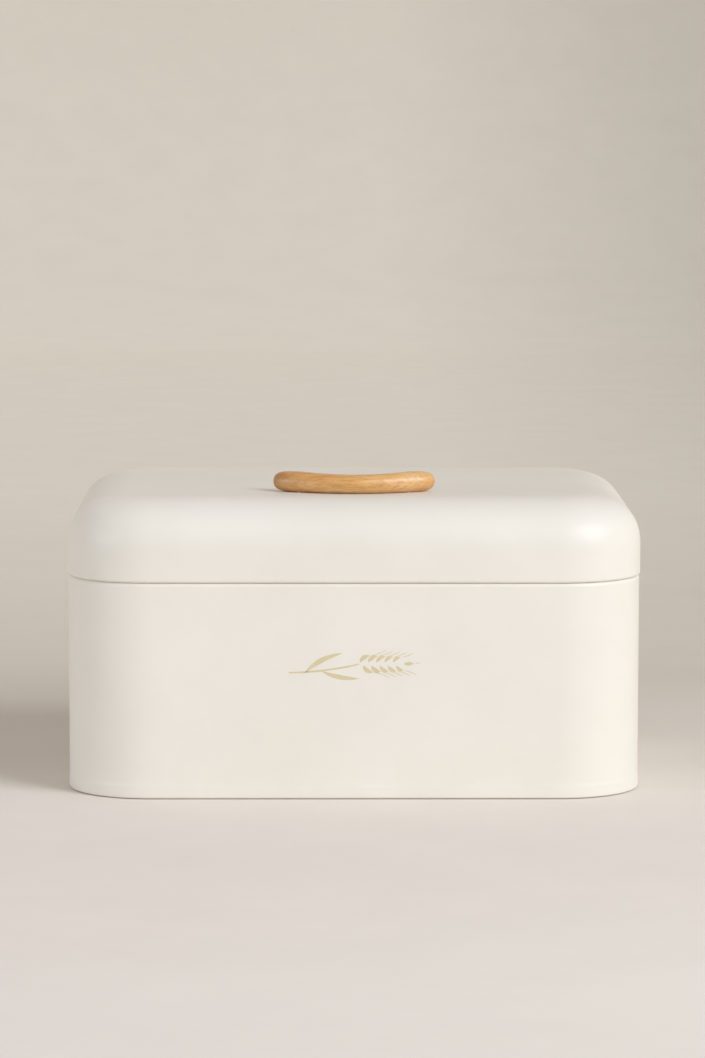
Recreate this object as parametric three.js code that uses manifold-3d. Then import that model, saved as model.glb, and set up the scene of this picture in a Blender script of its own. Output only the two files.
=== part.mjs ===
// A hinged-lid bread bin in powder-coated sheet steel with a bowed wooden pull.
// Millimetres, +Z up, the front faces -Y. The origin is the bottom centre of the whole bin's box.
import * as THREE from 'three';
import { mergeVertices } from 'three/addons/utils/BufferGeometryUtils.js';
import Module from 'manifold-3d';

const wasm = await Module();
wasm.setup();

// ---- Driving dimensions ----
const BODY_WIDTH = 330;
const BODY_DEPTH = 233;
const CORNER_RADIUS = 48.5; // of the body's plan
const CORNER_STEPS = 8; // facets in each plan corner
const SHEET = 0.6; // thickness of the coated steel

const RIM_HEIGHT = 0.3; // of the body's bottom rim above the floor
const SEAM_HEIGHT = 124.2; // of the lid's lower edge above the floor
const LID_TOP = 171;
const LID_OVERHANG = 0.56; // of the lid's skirt beyond the body's wall
const LID_FILLET_IN = 34.5; // how far the lid's rounded edge reaches in
const LID_FILLET_DOWN = 29.5; // and down
const LID_FILLET_POWER = 2.3; // 2 would be an ellipse; more is squarer
const LID_FILLET_STEPS = 10;
const LID_HEM_RADIUS = 1.5; // outside radius of the lid's hemmed edge
const HEM_RETURN = 2.1; // height of a hem's inner leaf

const NECK_INSET = 3.2; // of the neck that stands inside the lid
const NECK_RISE = 8; // above the seam
const NECK_HEM_RADIUS = 1.05;
const NECK_FILLET = 0.7;
const SHOULDER_RADIUS = 2.4;
const SEAT_GAP = 0.15; // between the lid's hem and the shoulder that it rests on

const BASE_FLARE = 0.3; // of the body's bottom rim beyond its wall
const BASE_FLARE_HEIGHT = 9;
const BASE_HEM_RADIUS = 1.2;
const BASE_HEM_RETURN = 1.7;
const PANEL_TOP = 4.5; // height of the base panel's border above the floor
const PANEL_BORDER = 18; // width of that border
const PANEL_EMBOSS = 1.6; // rise of the panel inside the border
const PANEL_SLOPE = 3; // width of the slope up to it
const PANEL_RIM_INSET = 0.6;
const PANEL_RIM_DROP = 3;

const VENT_COUNT = 9;
const VENT_PITCH = 12;
const VENT_RADIUS = 2;
const VENT_HEIGHT = 100;

const HANDLE_HALF_LENGTH = 45.9;
const HANDLE_SETBACK = 42.3; // of the handle's middle behind the body's front
const HANDLE_BOW_RADIUS = 48; // of its bow at the middle, seen from above
const HANDLE_LEVEL_OFF = 50; // distance from the middle over which the bow straightens again
const HANDLE_RADIUS = 5.43; // of the rod at the middle
const HANDLE_SWELL = 0.57; // added to the rod's radius over the screws
const HANDLE_SEAT = 0.25; // cut off under the swellings to make flat seats
const HANDLE_END_POWER = 3.5; // squareness of the rounded ends, where 2 would be an ellipse
const HANDLE_GAP = 0.15; // under the handle's seats
const HANDLE_STATIONS = 22; // bands along the rod
const HANDLE_SIDES = 14;
const SCREW_SPACING = 62;
const SCREW_RADIUS = 2;
const SCREW_REACH = 7.4; // of the screw's tip above the lid
const SCREW_HEAD_RADIUS = 3.8;
const SCREW_HEAD_HEIGHT = 2.4;
const WASHER_RADIUS = 5.5;
const WASHER_THICKNESS = 0.8;
const PILOT_END_GAP = 0.6; // between the screw's tip and the end of its hole
const FIT_GAP = 0.1; // between pieces that touch face to face
const SHEET_DRILL = 4; // length of a cutter that makes a hole in the sheet

const HINGE_SPACING = 190;
const HINGE_WIDTH = 30;
const LID_KNUCKLE_WIDTH = 13;
const KNUCKLE_GAP = 0.3;
const LEAF = 0.8; // thickness of a hinge leaf
const PIN_RADIUS = 1;
const KNUCKLE_BORE = 1.2;
const LID_LEAF_HEIGHT = 15;
const BODY_LEAF_HEIGHT = 15;
const LEAF_STEP_FOOT = 3.5; // how far below the axis the body's leaf starts to step out
const LEAF_STEP_HEAD = 1.8; // and ends
const HINGE_HEIGHT = 123.9; // of the hinge's axis above the floor
const LID_SWING = 100; // degrees from shut to the stops
const STOP_REACH = 5; // of the stop ears behind the axis
const STOP_DROP = 2; // of the ears' square corner below the axis
const STOP_GAP = 0.25; // left at the ears when the lid is fully open
const RIVET_SPACING = 18; // between the two rivets of a leaf
const LID_RIVET_RISE = 9.6; // above the hinge's axis
const BODY_RIVET_DROP = 9.6; // below it
const RIVET_RADIUS = 1.5;
const RIVET_HEAD_RADIUS = 2.7;
const RIVET_HEAD_HEIGHT = 1.1;
const HOLE_CLEARANCE = 0.25; // added to a screw's or rivet's radius

const FOOT_RADIUS = 5.5;
const FOOT_INSET = 10; // of a foot's centre from the body's wall
const SMALL_SIDES = 12; // facets round rivets, pins, screws and feet

// ---- Places worked out from them ----
const HALF_WIDTH = BODY_WIDTH / 2;
const HALF_DEPTH = BODY_DEPTH / 2;
const KNUCKLE_RADIUS = KNUCKLE_BORE + LEAF;
const AXIS_SETOFF = LID_OVERHANG + FIT_GAP + KNUCKLE_RADIUS; // behind the body's wall
const REACH_BEHIND = AXIS_SETOFF + STOP_REACH;
const HEM_CENTRE = new THREE.Vector2(
  LID_OVERHANG - LID_HEM_RADIUS,
  SEAM_HEIGHT + LID_HEM_RADIUS,
);
const SEAT_SPAN = LID_HEM_RADIUS + SHOULDER_RADIUS + SEAT_GAP;
const SHOULDER_START =
  HEM_CENTRE.y - Math.sqrt(SEAT_SPAN ** 2 - (HEM_CENTRE.x + SHOULDER_RADIUS) ** 2);

// ---- Materials ----
function material(colour, roughness, metalness) {
  return new THREE.MeshStandardMaterial({ color: colour, roughness, metalness });
}

const COAT = material(0xe9e4da, 0.5, 0);
const WOOD = material(0xd29e5d, 0.45, 0);
const STEEL = material(0xb8b9ba, 0.35, 1);
const RUBBER = material(0x4a4845, 0.85, 0);

// ---- Shape helpers ----
// Points along a circular arc, both ends included.
function arc(centreX, centreY, radius, fromDegrees, toDegrees, steps) {
  return Array.from({ length: steps + 1 }, (_, i) => {
    const angle = THREE.MathUtils.degToRad(
      THREE.MathUtils.lerp(fromDegrees, toDegrees, i / steps),
    );
    return new THREE.Vector2(
      centreX + radius * Math.cos(angle),
      centreY + radius * Math.sin(angle),
    );
  });
}

function point(x, y) {
  return new THREE.Vector2(x, y);
}

// The line at a distance to the right of another, with mitred corners.
function offsetRight(line, distance) {
  const rightOf = (from, to) => {
    const along = to.clone().sub(from).normalize();
    return point(along.y, -along.x);
  };
  return line.map((p, i) => {
    const before = i > 0 ? rightOf(line[i - 1], p) : rightOf(p, line[i + 1]);
    const after = i < line.length - 1 ? rightOf(p, line[i + 1]) : before;
    const mitre = before.clone().add(after).divideScalar(1 + before.dot(after));
    return p.clone().addScaledVector(mitre, distance);
  });
}

// The outline of a bent sheet whose outer face follows a line, its thickness to the line's right.
function bentSheet(line, thickness) {
  return [...line, ...offsetRight(line, thickness).reverse()];
}

// One loop round the bin's plan, a distance outside the body's wall.
function planLoop(outset, height) {
  const radius = CORNER_RADIUS + outset;
  const centreX = HALF_WIDTH - CORNER_RADIUS;
  const centreY = HALF_DEPTH - CORNER_RADIUS;
  const signs = [[1, 1], [-1, 1], [-1, -1], [1, -1]];
  return signs.flatMap(([sx, sy], quadrant) =>
    arc(sx * centreX, sy * centreY, radius, quadrant * 90, quadrant * 90 + 90, CORNER_STEPS)
      .map((p) => new THREE.Vector3(p.x, p.y, height)),
  );
}

// The solid's volume by the divergence theorem: negative when its faces point in.
function signedVolume(positions, index) {
  const corner = (i) => new THREE.Vector3().fromArray(positions, index[i] * 3);
  let volume = 0;
  for (let i = 0; i < index.length; i += 3) {
    volume += corner(i).dot(corner(i + 1).cross(corner(i + 2))) / 6;
  }
  return volume;
}

// A solid through loops of equally many points: a ring when it comes round to its first loop,
// otherwise closed by a flat face at each end.
function skin(loops, isRing) {
  const count = loops[0].length;
  const positions = loops.flat().flatMap((p) => p.toArray());
  const index = [];
  const bands = isRing ? loops.length : loops.length - 1;
  for (let band = 0; band < bands; band += 1) {
    const here = band * count;
    const next = ((band + 1) % loops.length) * count;
    for (let i = 0; i < count; i += 1) {
      const j = (i + 1) % count;
      index.push(here + i, here + j, next + j, here + i, next + j, next + i);
    }
  }
  if (!isRing) {
    const last = (loops.length - 1) * count;
    for (let i = 1; i < count - 1; i += 1) {
      index.push(0, i + 1, i, last, last + i, last + i + 1);
    }
  }
  if (signedVolume(positions, index) < 0) {
    index.reverse();
  }
  const geometry = new THREE.BufferGeometry();
  geometry.setAttribute('position', new THREE.Float32BufferAttribute(positions, 3));
  geometry.setIndex(index);
  return geometry;
}

// An outline in the Y-Z plane made into a plate across X, centred on a given x.
function plateAcrossX(outline, width, centreX) {
  const settings = { depth: width, bevelEnabled: false };
  const geometry = new THREE.ExtrudeGeometry(new THREE.Shape(outline), settings);
  const axes = [new THREE.Vector3(0, 1, 0), new THREE.Vector3(0, 0, 1), new THREE.Vector3(1, 0, 0)];
  geometry.applyMatrix4(new THREE.Matrix4().makeBasis(...axes));
  return geometry.translate(centreX - width / 2, 0, 0);
}

function box(width, depth, height, x, y, z) {
  return new THREE.BoxGeometry(width, depth, height).translate(x, y, z);
}

function rodAlongY(radius, length, x, y, z) {
  return new THREE.CylinderGeometry(radius, radius, length, SMALL_SIDES).translate(x, y, z);
}

function rodAlongZ(radius, length, x, y, z) {
  const rod = new THREE.CylinderGeometry(radius, radius, length, SMALL_SIDES);
  return rod.rotateX(Math.PI / 2).translate(x, y, z);
}

// A turned piece from its profile of [radius, height] pairs; its axis stands along Z.
function turned(profile) {
  const points = profile.map(([radius, height]) => point(radius, height));
  return new THREE.LatheGeometry(points, SMALL_SIDES).rotateX(Math.PI / 2);
}

// ---- Booleans ----
function toManifold(geometry) {
  const bare = geometry.clone();
  bare.deleteAttribute('normal');
  bare.deleteAttribute('uv');
  const merged = mergeVertices(bare, 1e-4);
  return new wasm.Manifold(new wasm.Mesh({
    numProp: 3,
    vertProperties: new Float32Array(merged.attributes.position.array),
    triVerts: new Uint32Array(merged.index.array),
  }));
}

function toGeometry(solid) {
  const mesh = solid.getMesh();
  const geometry = new THREE.BufferGeometry();
  geometry.setAttribute('position', new THREE.BufferAttribute(mesh.vertProperties, 3));
  geometry.setIndex(new THREE.BufferAttribute(mesh.triVerts, 1));
  return geometry;
}

function joinAndCut(geometry, additions, cutters) {
  let solid = toManifold(geometry);
  for (const addition of additions) {
    solid = solid.add(toManifold(addition));
  }
  for (const cutter of cutters) {
    solid = solid.subtract(toManifold(cutter));
  }
  return toGeometry(solid);
}

// ---- Scene graph ----
const bin = new THREE.Group();
bin.position.y = (LID_OVERHANG - REACH_BEHIND) / 2;

function addMesh(name, geometry, meshMaterial) {
  const mesh = new THREE.Mesh(geometry, meshMaterial);
  mesh.name = name;
  bin.add(mesh);
  return mesh;
}

// Left and right copies: the side's name and its sign along X.
const SIDES = [['left', -1], ['right', 1]];

function rivetHoles(height) {
  return SIDES.flatMap(([, side]) => SIDES.map(([, end]) => {
    const x = side * HINGE_SPACING / 2 + end * RIVET_SPACING / 2;
    return rodAlongY(RIVET_RADIUS + HOLE_CLEARANCE, SHEET_DRILL, x, HALF_DEPTH, height);
  }));
}

// ---- Body ----
// The wall is one strip: a hemmed neck inside the lid, a rounded shoulder, the upright wall, and
// a flared rim rolled under and up to grip the base panel.
function bodyWall() {
  const neckTop = SEAM_HEIGHT + NECK_RISE;
  const neckHem = -NECK_INSET - NECK_HEM_RADIUS;
  const shoulderTop = SHOULDER_START + SHOULDER_RADIUS;
  const rim = RIM_HEIGHT + BASE_HEM_RADIUS;
  const rimCentre = BASE_FLARE - BASE_HEM_RADIUS;
  const face = [
    point(neckHem - NECK_HEM_RADIUS, neckTop - NECK_HEM_RADIUS - HEM_RETURN),
    ...arc(neckHem, neckTop - NECK_HEM_RADIUS, NECK_HEM_RADIUS, 180, 0, 4),
    ...arc(-NECK_INSET + NECK_FILLET, shoulderTop + NECK_FILLET, NECK_FILLET, 180, 270, 2),
    ...arc(-SHOULDER_RADIUS, SHOULDER_START, SHOULDER_RADIUS, 90, 0, 4),
    point(0, BASE_FLARE_HEIGHT + 1),
    point(BASE_FLARE, BASE_FLARE_HEIGHT - 1),
    ...arc(rimCentre, rim, BASE_HEM_RADIUS, 0, -180, 4),
    point(rimCentre - BASE_HEM_RADIUS, rim + BASE_HEM_RETURN),
  ];
  const wall = skin(bentSheet(face, SHEET).map((p) => planLoop(p.x, p.y)), true);
  const vents = Array.from({ length: VENT_COUNT }, (_, i) => {
    const x = (i - (VENT_COUNT - 1) / 2) * VENT_PITCH;
    return rodAlongY(VENT_RADIUS, SHEET_DRILL, x, HALF_DEPTH, VENT_HEIGHT);
  });
  return joinAndCut(wall, [], [...vents, ...rivetHoles(HINGE_HEIGHT - BODY_RIVET_DROP)]);
}

// A pressed panel with a raised middle; its edge is turned down into the wall's rolled rim.
function basePanel() {
  const bend = 2 * SHEET;
  const face = [
    point(-PANEL_BORDER - 2 * PANEL_SLOPE, PANEL_TOP + PANEL_EMBOSS),
    point(-PANEL_BORDER - PANEL_SLOPE, PANEL_TOP + PANEL_EMBOSS),
    point(-PANEL_BORDER, PANEL_TOP),
    ...arc(-PANEL_RIM_INSET - bend, PANEL_TOP - bend, bend, 90, 0, 3),
    point(-PANEL_RIM_INSET, PANEL_TOP - PANEL_RIM_DROP),
  ];
  return skin(bentSheet(face, SHEET).map((p) => planLoop(p.x, p.y)), false);
}

function foot() {
  const top = PANEL_TOP - SHEET - FIT_GAP;
  const bevel = 0.5;
  return turned([
    [0, 0], [FOOT_RADIUS - bevel, 0], [FOOT_RADIUS, bevel], [FOOT_RADIUS, top], [0, top],
  ]);
}

// ---- Lid ----
function lidShell() {
  const fillet = Array.from({ length: LID_FILLET_STEPS + 1 }, (_, i) => {
    const angle = (1 - i / LID_FILLET_STEPS) * Math.PI / 2;
    const across = Math.abs(Math.cos(angle)) ** (2 / LID_FILLET_POWER);
    const up = Math.abs(Math.sin(angle)) ** (2 / LID_FILLET_POWER);
    return point(
      LID_OVERHANG - LID_FILLET_IN * (1 - across),
      LID_TOP - LID_FILLET_DOWN * (1 - up),
    );
  });
  const face = [
    point(fillet[0].x - SHEET_DRILL, LID_TOP),
    ...fillet,
    ...arc(HEM_CENTRE.x, HEM_CENTRE.y, LID_HEM_RADIUS, 0, -180, 6),
    point(HEM_CENTRE.x - LID_HEM_RADIUS, HEM_CENTRE.y + HEM_RETURN),
  ];
  const shell = skin(bentSheet(face, SHEET).map((p) => planLoop(p.x, p.y)), false);
  const screwHoles = SIDES.map(([, side]) => {
    const x = side * SCREW_SPACING / 2;
    return rodAlongZ(SCREW_RADIUS + HOLE_CLEARANCE, SHEET_DRILL, x, handleY(x), LID_TOP);
  });
  return joinAndCut(shell, [], [...screwHoles, ...rivetHoles(HINGE_HEIGHT + LID_RIVET_RISE)]);
}

// ---- Handle ----
// A rod lying along X whose middle bows towards the front and whose ends straighten again.
function handleY(x) {
  const arch = x ** 2 / (2 * HANDLE_BOW_RADIUS);
  return HANDLE_SETBACK - HALF_DEPTH + arch / Math.sqrt(1 + (x / HANDLE_LEVEL_OFF) ** 4);
}

// The rod's round section square to the bow, thicker over the screws and rounded off at the ends.
function handleSection(x) {
  const screwX = SCREW_SPACING / 2;
  const swell = Math.min(Math.abs(x) / screwX, 1) ** 2;
  const end = Math.max(0, (Math.abs(x) - screwX) / (HANDLE_HALF_LENGTH - screwX));
  const taper = (1 - end ** HANDLE_END_POWER) ** (1 / HANDLE_END_POWER);
  const radius = taper * (HANDLE_RADIUS + HANDLE_SWELL * swell);
  const across = point(handleY(x - 0.5) - handleY(x + 0.5), 1).normalize();
  const axisHeight = LID_TOP + HANDLE_GAP + HANDLE_RADIUS + (HANDLE_SWELL - HANDLE_SEAT) * swell;
  return arc(0, 0, radius, 0, 360, HANDLE_SIDES).slice(1).map((p) => new THREE.Vector3(
    x + across.x * p.x,
    handleY(x) + across.y * p.x,
    axisHeight + p.y,
  ));
}

function handle() {
  const lastAngle = 0.955 * Math.PI / 2; // leaves a small flat on each end
  const sections = Array.from({ length: HANDLE_STATIONS + 1 }, (_, i) => {
    const angle = THREE.MathUtils.lerp(-lastAngle, lastAngle, i / HANDLE_STATIONS);
    return handleSection(HANDLE_HALF_LENGTH * Math.sin(angle));
  });
  const pilots = SIDES.map(([, side]) => {
    const x = side * SCREW_SPACING / 2;
    const length = 2 * (SCREW_REACH + PILOT_END_GAP);
    return rodAlongZ(SCREW_RADIUS + HOLE_CLEARANCE, length, x, handleY(x), LID_TOP);
  });
  const seats = box(BODY_WIDTH, BODY_WIDTH, LID_TOP, 0, 0, LID_TOP / 2 + HANDLE_GAP);
  return joinAndCut(skin(sections, false), [], [seats, ...pilots]);
}

// The screw stands on its head under the lid, with its tip up in the handle.
function handleScrew() {
  const head = LID_TOP - SHEET - WASHER_THICKNESS - 2 * FIT_GAP;
  return turned([
    [0, head - SCREW_HEAD_HEIGHT],
    [SCREW_HEAD_RADIUS * 0.6, head - SCREW_HEAD_HEIGHT],
    [SCREW_HEAD_RADIUS, head - SCREW_HEAD_HEIGHT * 0.5],
    [SCREW_HEAD_RADIUS, head],
    [SCREW_RADIUS, head],
    [SCREW_RADIUS, LID_TOP + SCREW_REACH - 1],
    [0, LID_TOP + SCREW_REACH],
  ]);
}

function washer() {
  const top = LID_TOP - SHEET - FIT_GAP;
  const hole = SCREW_RADIUS + HOLE_CLEARANCE;
  const bottom = top - WASHER_THICKNESS;
  return turned([
    [hole, bottom], [WASHER_RADIUS, bottom], [WASHER_RADIUS, top], [hole, top], [hole, bottom],
  ]);
}

// ---- Hinges ----
// Leaf sections are drawn round the hinge's axis, with the bin on the side of -Y.
function leafSection(straight, curl) {
  const line = [...straight, ...curl];
  return [...offsetRight(line, -LEAF / 2), ...offsetRight(line, LEAF / 2).reverse()];
}

function leafRivetHoles(height) {
  return SIDES.map(([, end]) =>
    rodAlongY(RIVET_RADIUS + HOLE_CLEARANCE, 3 * SHEET_DRILL, end * RIVET_SPACING / 2, 0, height));
}

// The lid's leaf hangs from the lid and curls under and round the pin; it is cut away beside its
// one middle knuckle for the body leaf's two.
function lidLeaf() {
  const centreLine = KNUCKLE_BORE + LEAF / 2;
  const section = leafSection(
    [point(-centreLine, LID_LEAF_HEIGHT)],
    arc(0, 0, centreLine, 180, 480, 12),
  );
  const plate = plateAcrossX(section, HINGE_WIDTH, 0);
  const side = (HINGE_WIDTH - LID_KNUCKLE_WIDTH) / 2;
  const room = KNUCKLE_RADIUS + KNUCKLE_GAP;
  const notches = SIDES.map(([, end]) => {
    const x = end * (LID_KNUCKLE_WIDTH + side + 1) / 2;
    return box(side + 1, 2 * room, 2 * room, x, 0, 0);
  });
  return joinAndCut(plate, [], [...notches, ...leafRivetHoles(LID_RIVET_RISE)]);
}

// An ear at each end of the body's leaf, which the lid's leaf comes to rest on.
function stopEar(end, leafFace) {
  const swing = THREE.MathUtils.degToRad(LID_SWING);
  const restDistance = KNUCKLE_BORE; // from the axis to the lid leaf's outer face
  const stopHeight = (y) =>
    (restDistance + y * Math.cos(swing)) / Math.sin(swing) - STOP_GAP;
  const outline = [
    point(leafFace, -BODY_LEAF_HEIGHT + LEAF),
    point(STOP_REACH, -STOP_DROP),
    point(STOP_REACH, stopHeight(STOP_REACH)),
    point(0, stopHeight(0)),
    point(leafFace, 0),
  ];
  return plateAcrossX(outline, LEAF, end * (HINGE_WIDTH - LEAF) / 2);
}

// The body's leaf stands on the wall, steps out to clear the lid and curls over the pin.
function bodyLeaf() {
  const centreLine = KNUCKLE_BORE + LEAF / 2;
  const onWall = -AXIS_SETOFF + FIT_GAP + LEAF / 2;
  const section = leafSection(
    [
      point(onWall, -BODY_LEAF_HEIGHT),
      point(onWall, -LEAF_STEP_FOOT),
      point(-centreLine, -LEAF_STEP_HEAD),
    ],
    arc(0, 0, centreLine, 180, -120, 12),
  );
  const plate = plateAcrossX(section, HINGE_WIDTH, 0);
  const ears = SIDES.map(([, end]) => stopEar(end, onWall));
  const room = KNUCKLE_RADIUS + KNUCKLE_GAP;
  const notch = box(LID_KNUCKLE_WIDTH + 2 * KNUCKLE_GAP, 2 * room, 2 * room, 0, 0, 0);
  const bore = new THREE.CylinderGeometry(KNUCKLE_BORE, KNUCKLE_BORE, 2 * HINGE_WIDTH, SMALL_SIDES);
  bore.rotateZ(Math.PI / 2);
  return joinAndCut(plate, ears, [notch, bore, ...leafRivetHoles(-BODY_RIVET_DROP)]);
}

// The pin is peened over into a low head at each end.
function hingePin() {
  const head = 0.7;
  const inner = HINGE_WIDTH / 2 + FIT_GAP;
  const outer = inner + head;
  const headRadius = PIN_RADIUS + 0.6;
  const pin = turned([
    [0, -outer], [PIN_RADIUS, -outer], [headRadius, -inner - head / 2], [headRadius, -inner],
    [PIN_RADIUS, -inner], [PIN_RADIUS, inner],
    [headRadius, inner], [headRadius, inner + head / 2], [PIN_RADIUS, outer], [0, outer],
  ]);
  return pin.rotateY(Math.PI / 2);
}

// A rivet through a leaf and the sheet behind it; its length runs along Y, domed head outside.
function rivet(leafOuterY, sheetInnerY) {
  const out = leafOuterY + FIT_GAP;
  const inside = sheetInnerY - FIT_GAP;
  const tail = 0.8;
  const solid = turned([
    [0, inside - tail],
    [RIVET_HEAD_RADIUS * 0.85, inside - tail],
    [RIVET_HEAD_RADIUS * 0.95, inside],
    [RIVET_RADIUS, inside],
    [RIVET_RADIUS, out],
    [RIVET_HEAD_RADIUS, out],
    [RIVET_HEAD_RADIUS * 0.72, out + RIVET_HEAD_HEIGHT * 0.7],
    [0, out + RIVET_HEAD_HEIGHT],
  ]);
  return solid.rotateX(-Math.PI / 2);
}

function addHinge(sideName, side) {
  const x = side * HINGE_SPACING / 2;
  const axisY = HALF_DEPTH + AXIS_SETOFF;
  const leaves = [['lid_leaf', lidLeaf()], ['body_leaf', bodyLeaf()], ['pin', hingePin()]];
  for (const [piece, geometry] of leaves) {
    addMesh(`hinge_${sideName}_${piece}`, geometry, STEEL).position.set(x, axisY, HINGE_HEIGHT);
  }
  const lidRivet = rivet(axisY - KNUCKLE_BORE, HALF_DEPTH + LID_OVERHANG - SHEET);
  const bodyRivet = rivet(HALF_DEPTH + FIT_GAP + LEAF, HALF_DEPTH - SHEET);
  for (const [endName, end] of SIDES) {
    const rivetX = x + end * RIVET_SPACING / 2;
    addMesh(`rivet_lid_${sideName}_${endName}`, lidRivet, STEEL)
      .position.set(rivetX, 0, HINGE_HEIGHT + LID_RIVET_RISE);
    addMesh(`rivet_body_${sideName}_${endName}`, bodyRivet, STEEL)
      .position.set(rivetX, 0, HINGE_HEIGHT - BODY_RIVET_DROP);
  }
}

// ---- Assembly ----
addMesh('body_wall', bodyWall(), COAT);
addMesh('base_panel', basePanel(), COAT);
addMesh('lid_shell', lidShell(), COAT);
addMesh('handle', handle(), WOOD);

for (const [sideName, side] of SIDES) {
  const screwX = side * SCREW_SPACING / 2;
  addMesh(`handle_screw_${sideName}`, handleScrew(), STEEL).position.set(screwX, handleY(screwX), 0);
  addMesh(`handle_washer_${sideName}`, washer(), STEEL).position.set(screwX, handleY(screwX), 0);
  addHinge(sideName, side);
}

const footFromCorner = CORNER_RADIUS - (CORNER_RADIUS - FOOT_INSET) * Math.SQRT1_2;
for (const [endName, end] of [['front', -1], ['back', 1]]) {
  for (const [sideName, side] of SIDES) {
    const x = side * (HALF_WIDTH - footFromCorner);
    const y = end * (HALF_DEPTH - footFromCorner);
    addMesh(`foot_${endName}_${sideName}`, foot(), RUBBER).position.set(x, y, 0);
  }
}

export default bin;
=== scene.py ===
"""A cream sheet-steel bread bin with a back-hinged lid and a bowed wooden pull, in a plain studio."""

import math

import bmesh
import bpy
from mathutils import Euler, Matrix, Vector


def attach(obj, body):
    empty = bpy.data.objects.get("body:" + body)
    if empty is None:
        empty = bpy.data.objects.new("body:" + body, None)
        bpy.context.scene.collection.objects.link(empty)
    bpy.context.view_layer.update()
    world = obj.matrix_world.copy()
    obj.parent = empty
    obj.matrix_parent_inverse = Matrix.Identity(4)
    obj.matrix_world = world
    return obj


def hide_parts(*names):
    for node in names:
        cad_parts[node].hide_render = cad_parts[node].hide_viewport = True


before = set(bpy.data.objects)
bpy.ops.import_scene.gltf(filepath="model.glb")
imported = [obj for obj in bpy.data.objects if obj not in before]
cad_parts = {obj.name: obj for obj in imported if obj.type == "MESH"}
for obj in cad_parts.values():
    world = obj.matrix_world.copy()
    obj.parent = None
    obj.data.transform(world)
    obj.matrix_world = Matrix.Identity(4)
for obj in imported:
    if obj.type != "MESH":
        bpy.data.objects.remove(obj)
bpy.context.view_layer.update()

# ---- Driving dimensions, in millimetres ----
MM = 0.001

BODY_WIDTH = 330
BODY_DEPTH = 233
CORNER_RADIUS = 48.5  # of the body's plan
SHEET = 0.6  # thickness of the coated steel

RIM_HEIGHT = 0.3  # of the body's bottom rim above the worktop
SEAM_HEIGHT = 124.2  # of the lid's lower edge above the worktop
LID_TOP = 171
LID_OVERHANG = 0.56  # of the lid's skirt beyond the body's wall
LID_FILLET_IN = 34.5  # how far the lid's rounded edge reaches in
LID_FILLET_DOWN = 29.5  # and down
LID_FILLET_POWER = 2.3  # 2 would be an ellipse; more is squarer
LID_HEM_RADIUS = 1.5  # outside radius of the lid's hemmed edge
HEM_RETURN = 2.1  # height of a hem's inner leaf

NECK_INSET = 3.2  # of the neck that stands inside the lid
NECK_RISE = 8  # above the seam
NECK_HEM_RADIUS = 1.05
NECK_FILLET = 0.7  # of the bend between the neck and the shoulder
SHOULDER_RADIUS = 2.4
SEAT_GAP = 0.15  # between the lid's hem and the shoulder that it rests on

BASE_FLARE = 0.3  # of the body's bottom rim beyond its wall
BASE_FLARE_HEIGHT = 9  # of the flare's start above the worktop
FLARE_SLOPE = 2  # height over which the wall steps out
FLARE_SKIRT = 4  # height of the straight rim below that
FLARE_ROUNDING = 12  # radius of the bends at the slope
BASE_HEM_RADIUS = 1.2
BASE_HEM_RETURN = 1.7
PANEL_TOP = 4.5  # height of the base panel's border above the worktop
PANEL_BORDER = 18  # width of that border
PANEL_EMBOSS = 1.6  # rise of the panel inside the border
PANEL_SLOPE = 3  # width of the slope up to it
PANEL_ROUNDING = 4  # radius of the bends at the slope
PANEL_RIM_INSET = 0.6  # of the panel's turned-down edge inside the body's wall
PANEL_RIM_DROP = 3  # of that edge below the border

VENT_COUNT = 9
VENT_PITCH = 12
VENT_RADIUS = 2
VENT_HEIGHT = 100

PULL_HALF_LENGTH = 45.9
PULL_SETBACK = 42.3  # of the pull's middle behind the body's front
PULL_BOW_RADIUS = 48  # of its bow at the middle, seen from above
PULL_LEVEL_OFF = 50  # distance from the middle over which the bow straightens again
PULL_RADIUS = 5.43  # of the rod at the middle
PULL_SWELL = 0.57  # added to the rod's radius over the screws
PULL_SEAT = 0.25  # cut off under the swellings to make flat seats
PULL_END_POWER = 3.5  # 2 would make round ends; more is squarer
PULL_GAP = 0.15  # under the pull's seats
SCREW_SPACING = 62
SCREW_RADIUS = 2
SCREW_REACH = 7.4  # of the screw's tip above the lid
SCREW_POINT = 1  # length of the cone at its tip
PILOT_END_GAP = 0.6  # left in the pull above that
SCREW_HEAD_RADIUS = 3.8
SCREW_HEAD_HEIGHT = 2.4
SCREW_HEAD_ROUNDING = 1.6
RECESS_SPAN = 3.8  # of the cross in the screw's head
RECESS_WIDTH = 0.8
RECESS_DEPTH = 1.2
WASHER_RADIUS = 5.5
WASHER_THICKNESS = 0.8
WASHER_EDGE = 0.15  # chamfer
FIT_GAP = 0.1  # between pieces that touch face to face

HINGE_SPACING = 190
HINGE_WIDTH = 30
LID_KNUCKLE_WIDTH = 13
KNUCKLE_GAP = 0.3
LEAF = 0.8  # thickness of a hinge leaf
LEAF_HEIGHT = 15
LEAF_STEP_FOOT = 3.5  # how far below the axis the body's leaf starts to step out
LEAF_STEP_HEAD = 1.8  # and ends
LEAF_STEP_ROUNDING = 1
LEAF_EDGE_ROUNDING = 0.12
KNUCKLE_BORE = 1.2  # radius of the hole for the pin
CURL_SWEEP = 300  # degrees that a leaf's knuckle goes round the pin
PIN_RADIUS = 1
PIN_HEAD_RADIUS = 1.6
PIN_HEAD_HEIGHT = 0.7
PIN_HEAD_ROUNDING = 0.45
HINGE_HEIGHT = 123.9  # of the hinge's axis above the worktop
LID_SWING = 100  # degrees from shut to the stops
STOP_REACH = 5  # of the stop ears behind the axis
STOP_DROP = 2  # of the ears' square corner below the axis
STOP_GAP = 0.25  # left at the ears when the lid is fully open
RIVET_SPACING = 18  # between the two rivets of a leaf
RIVET_OFFSET = 9.6  # of the rivets above or below the axis
RIVET_RADIUS = 1.5
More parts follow.
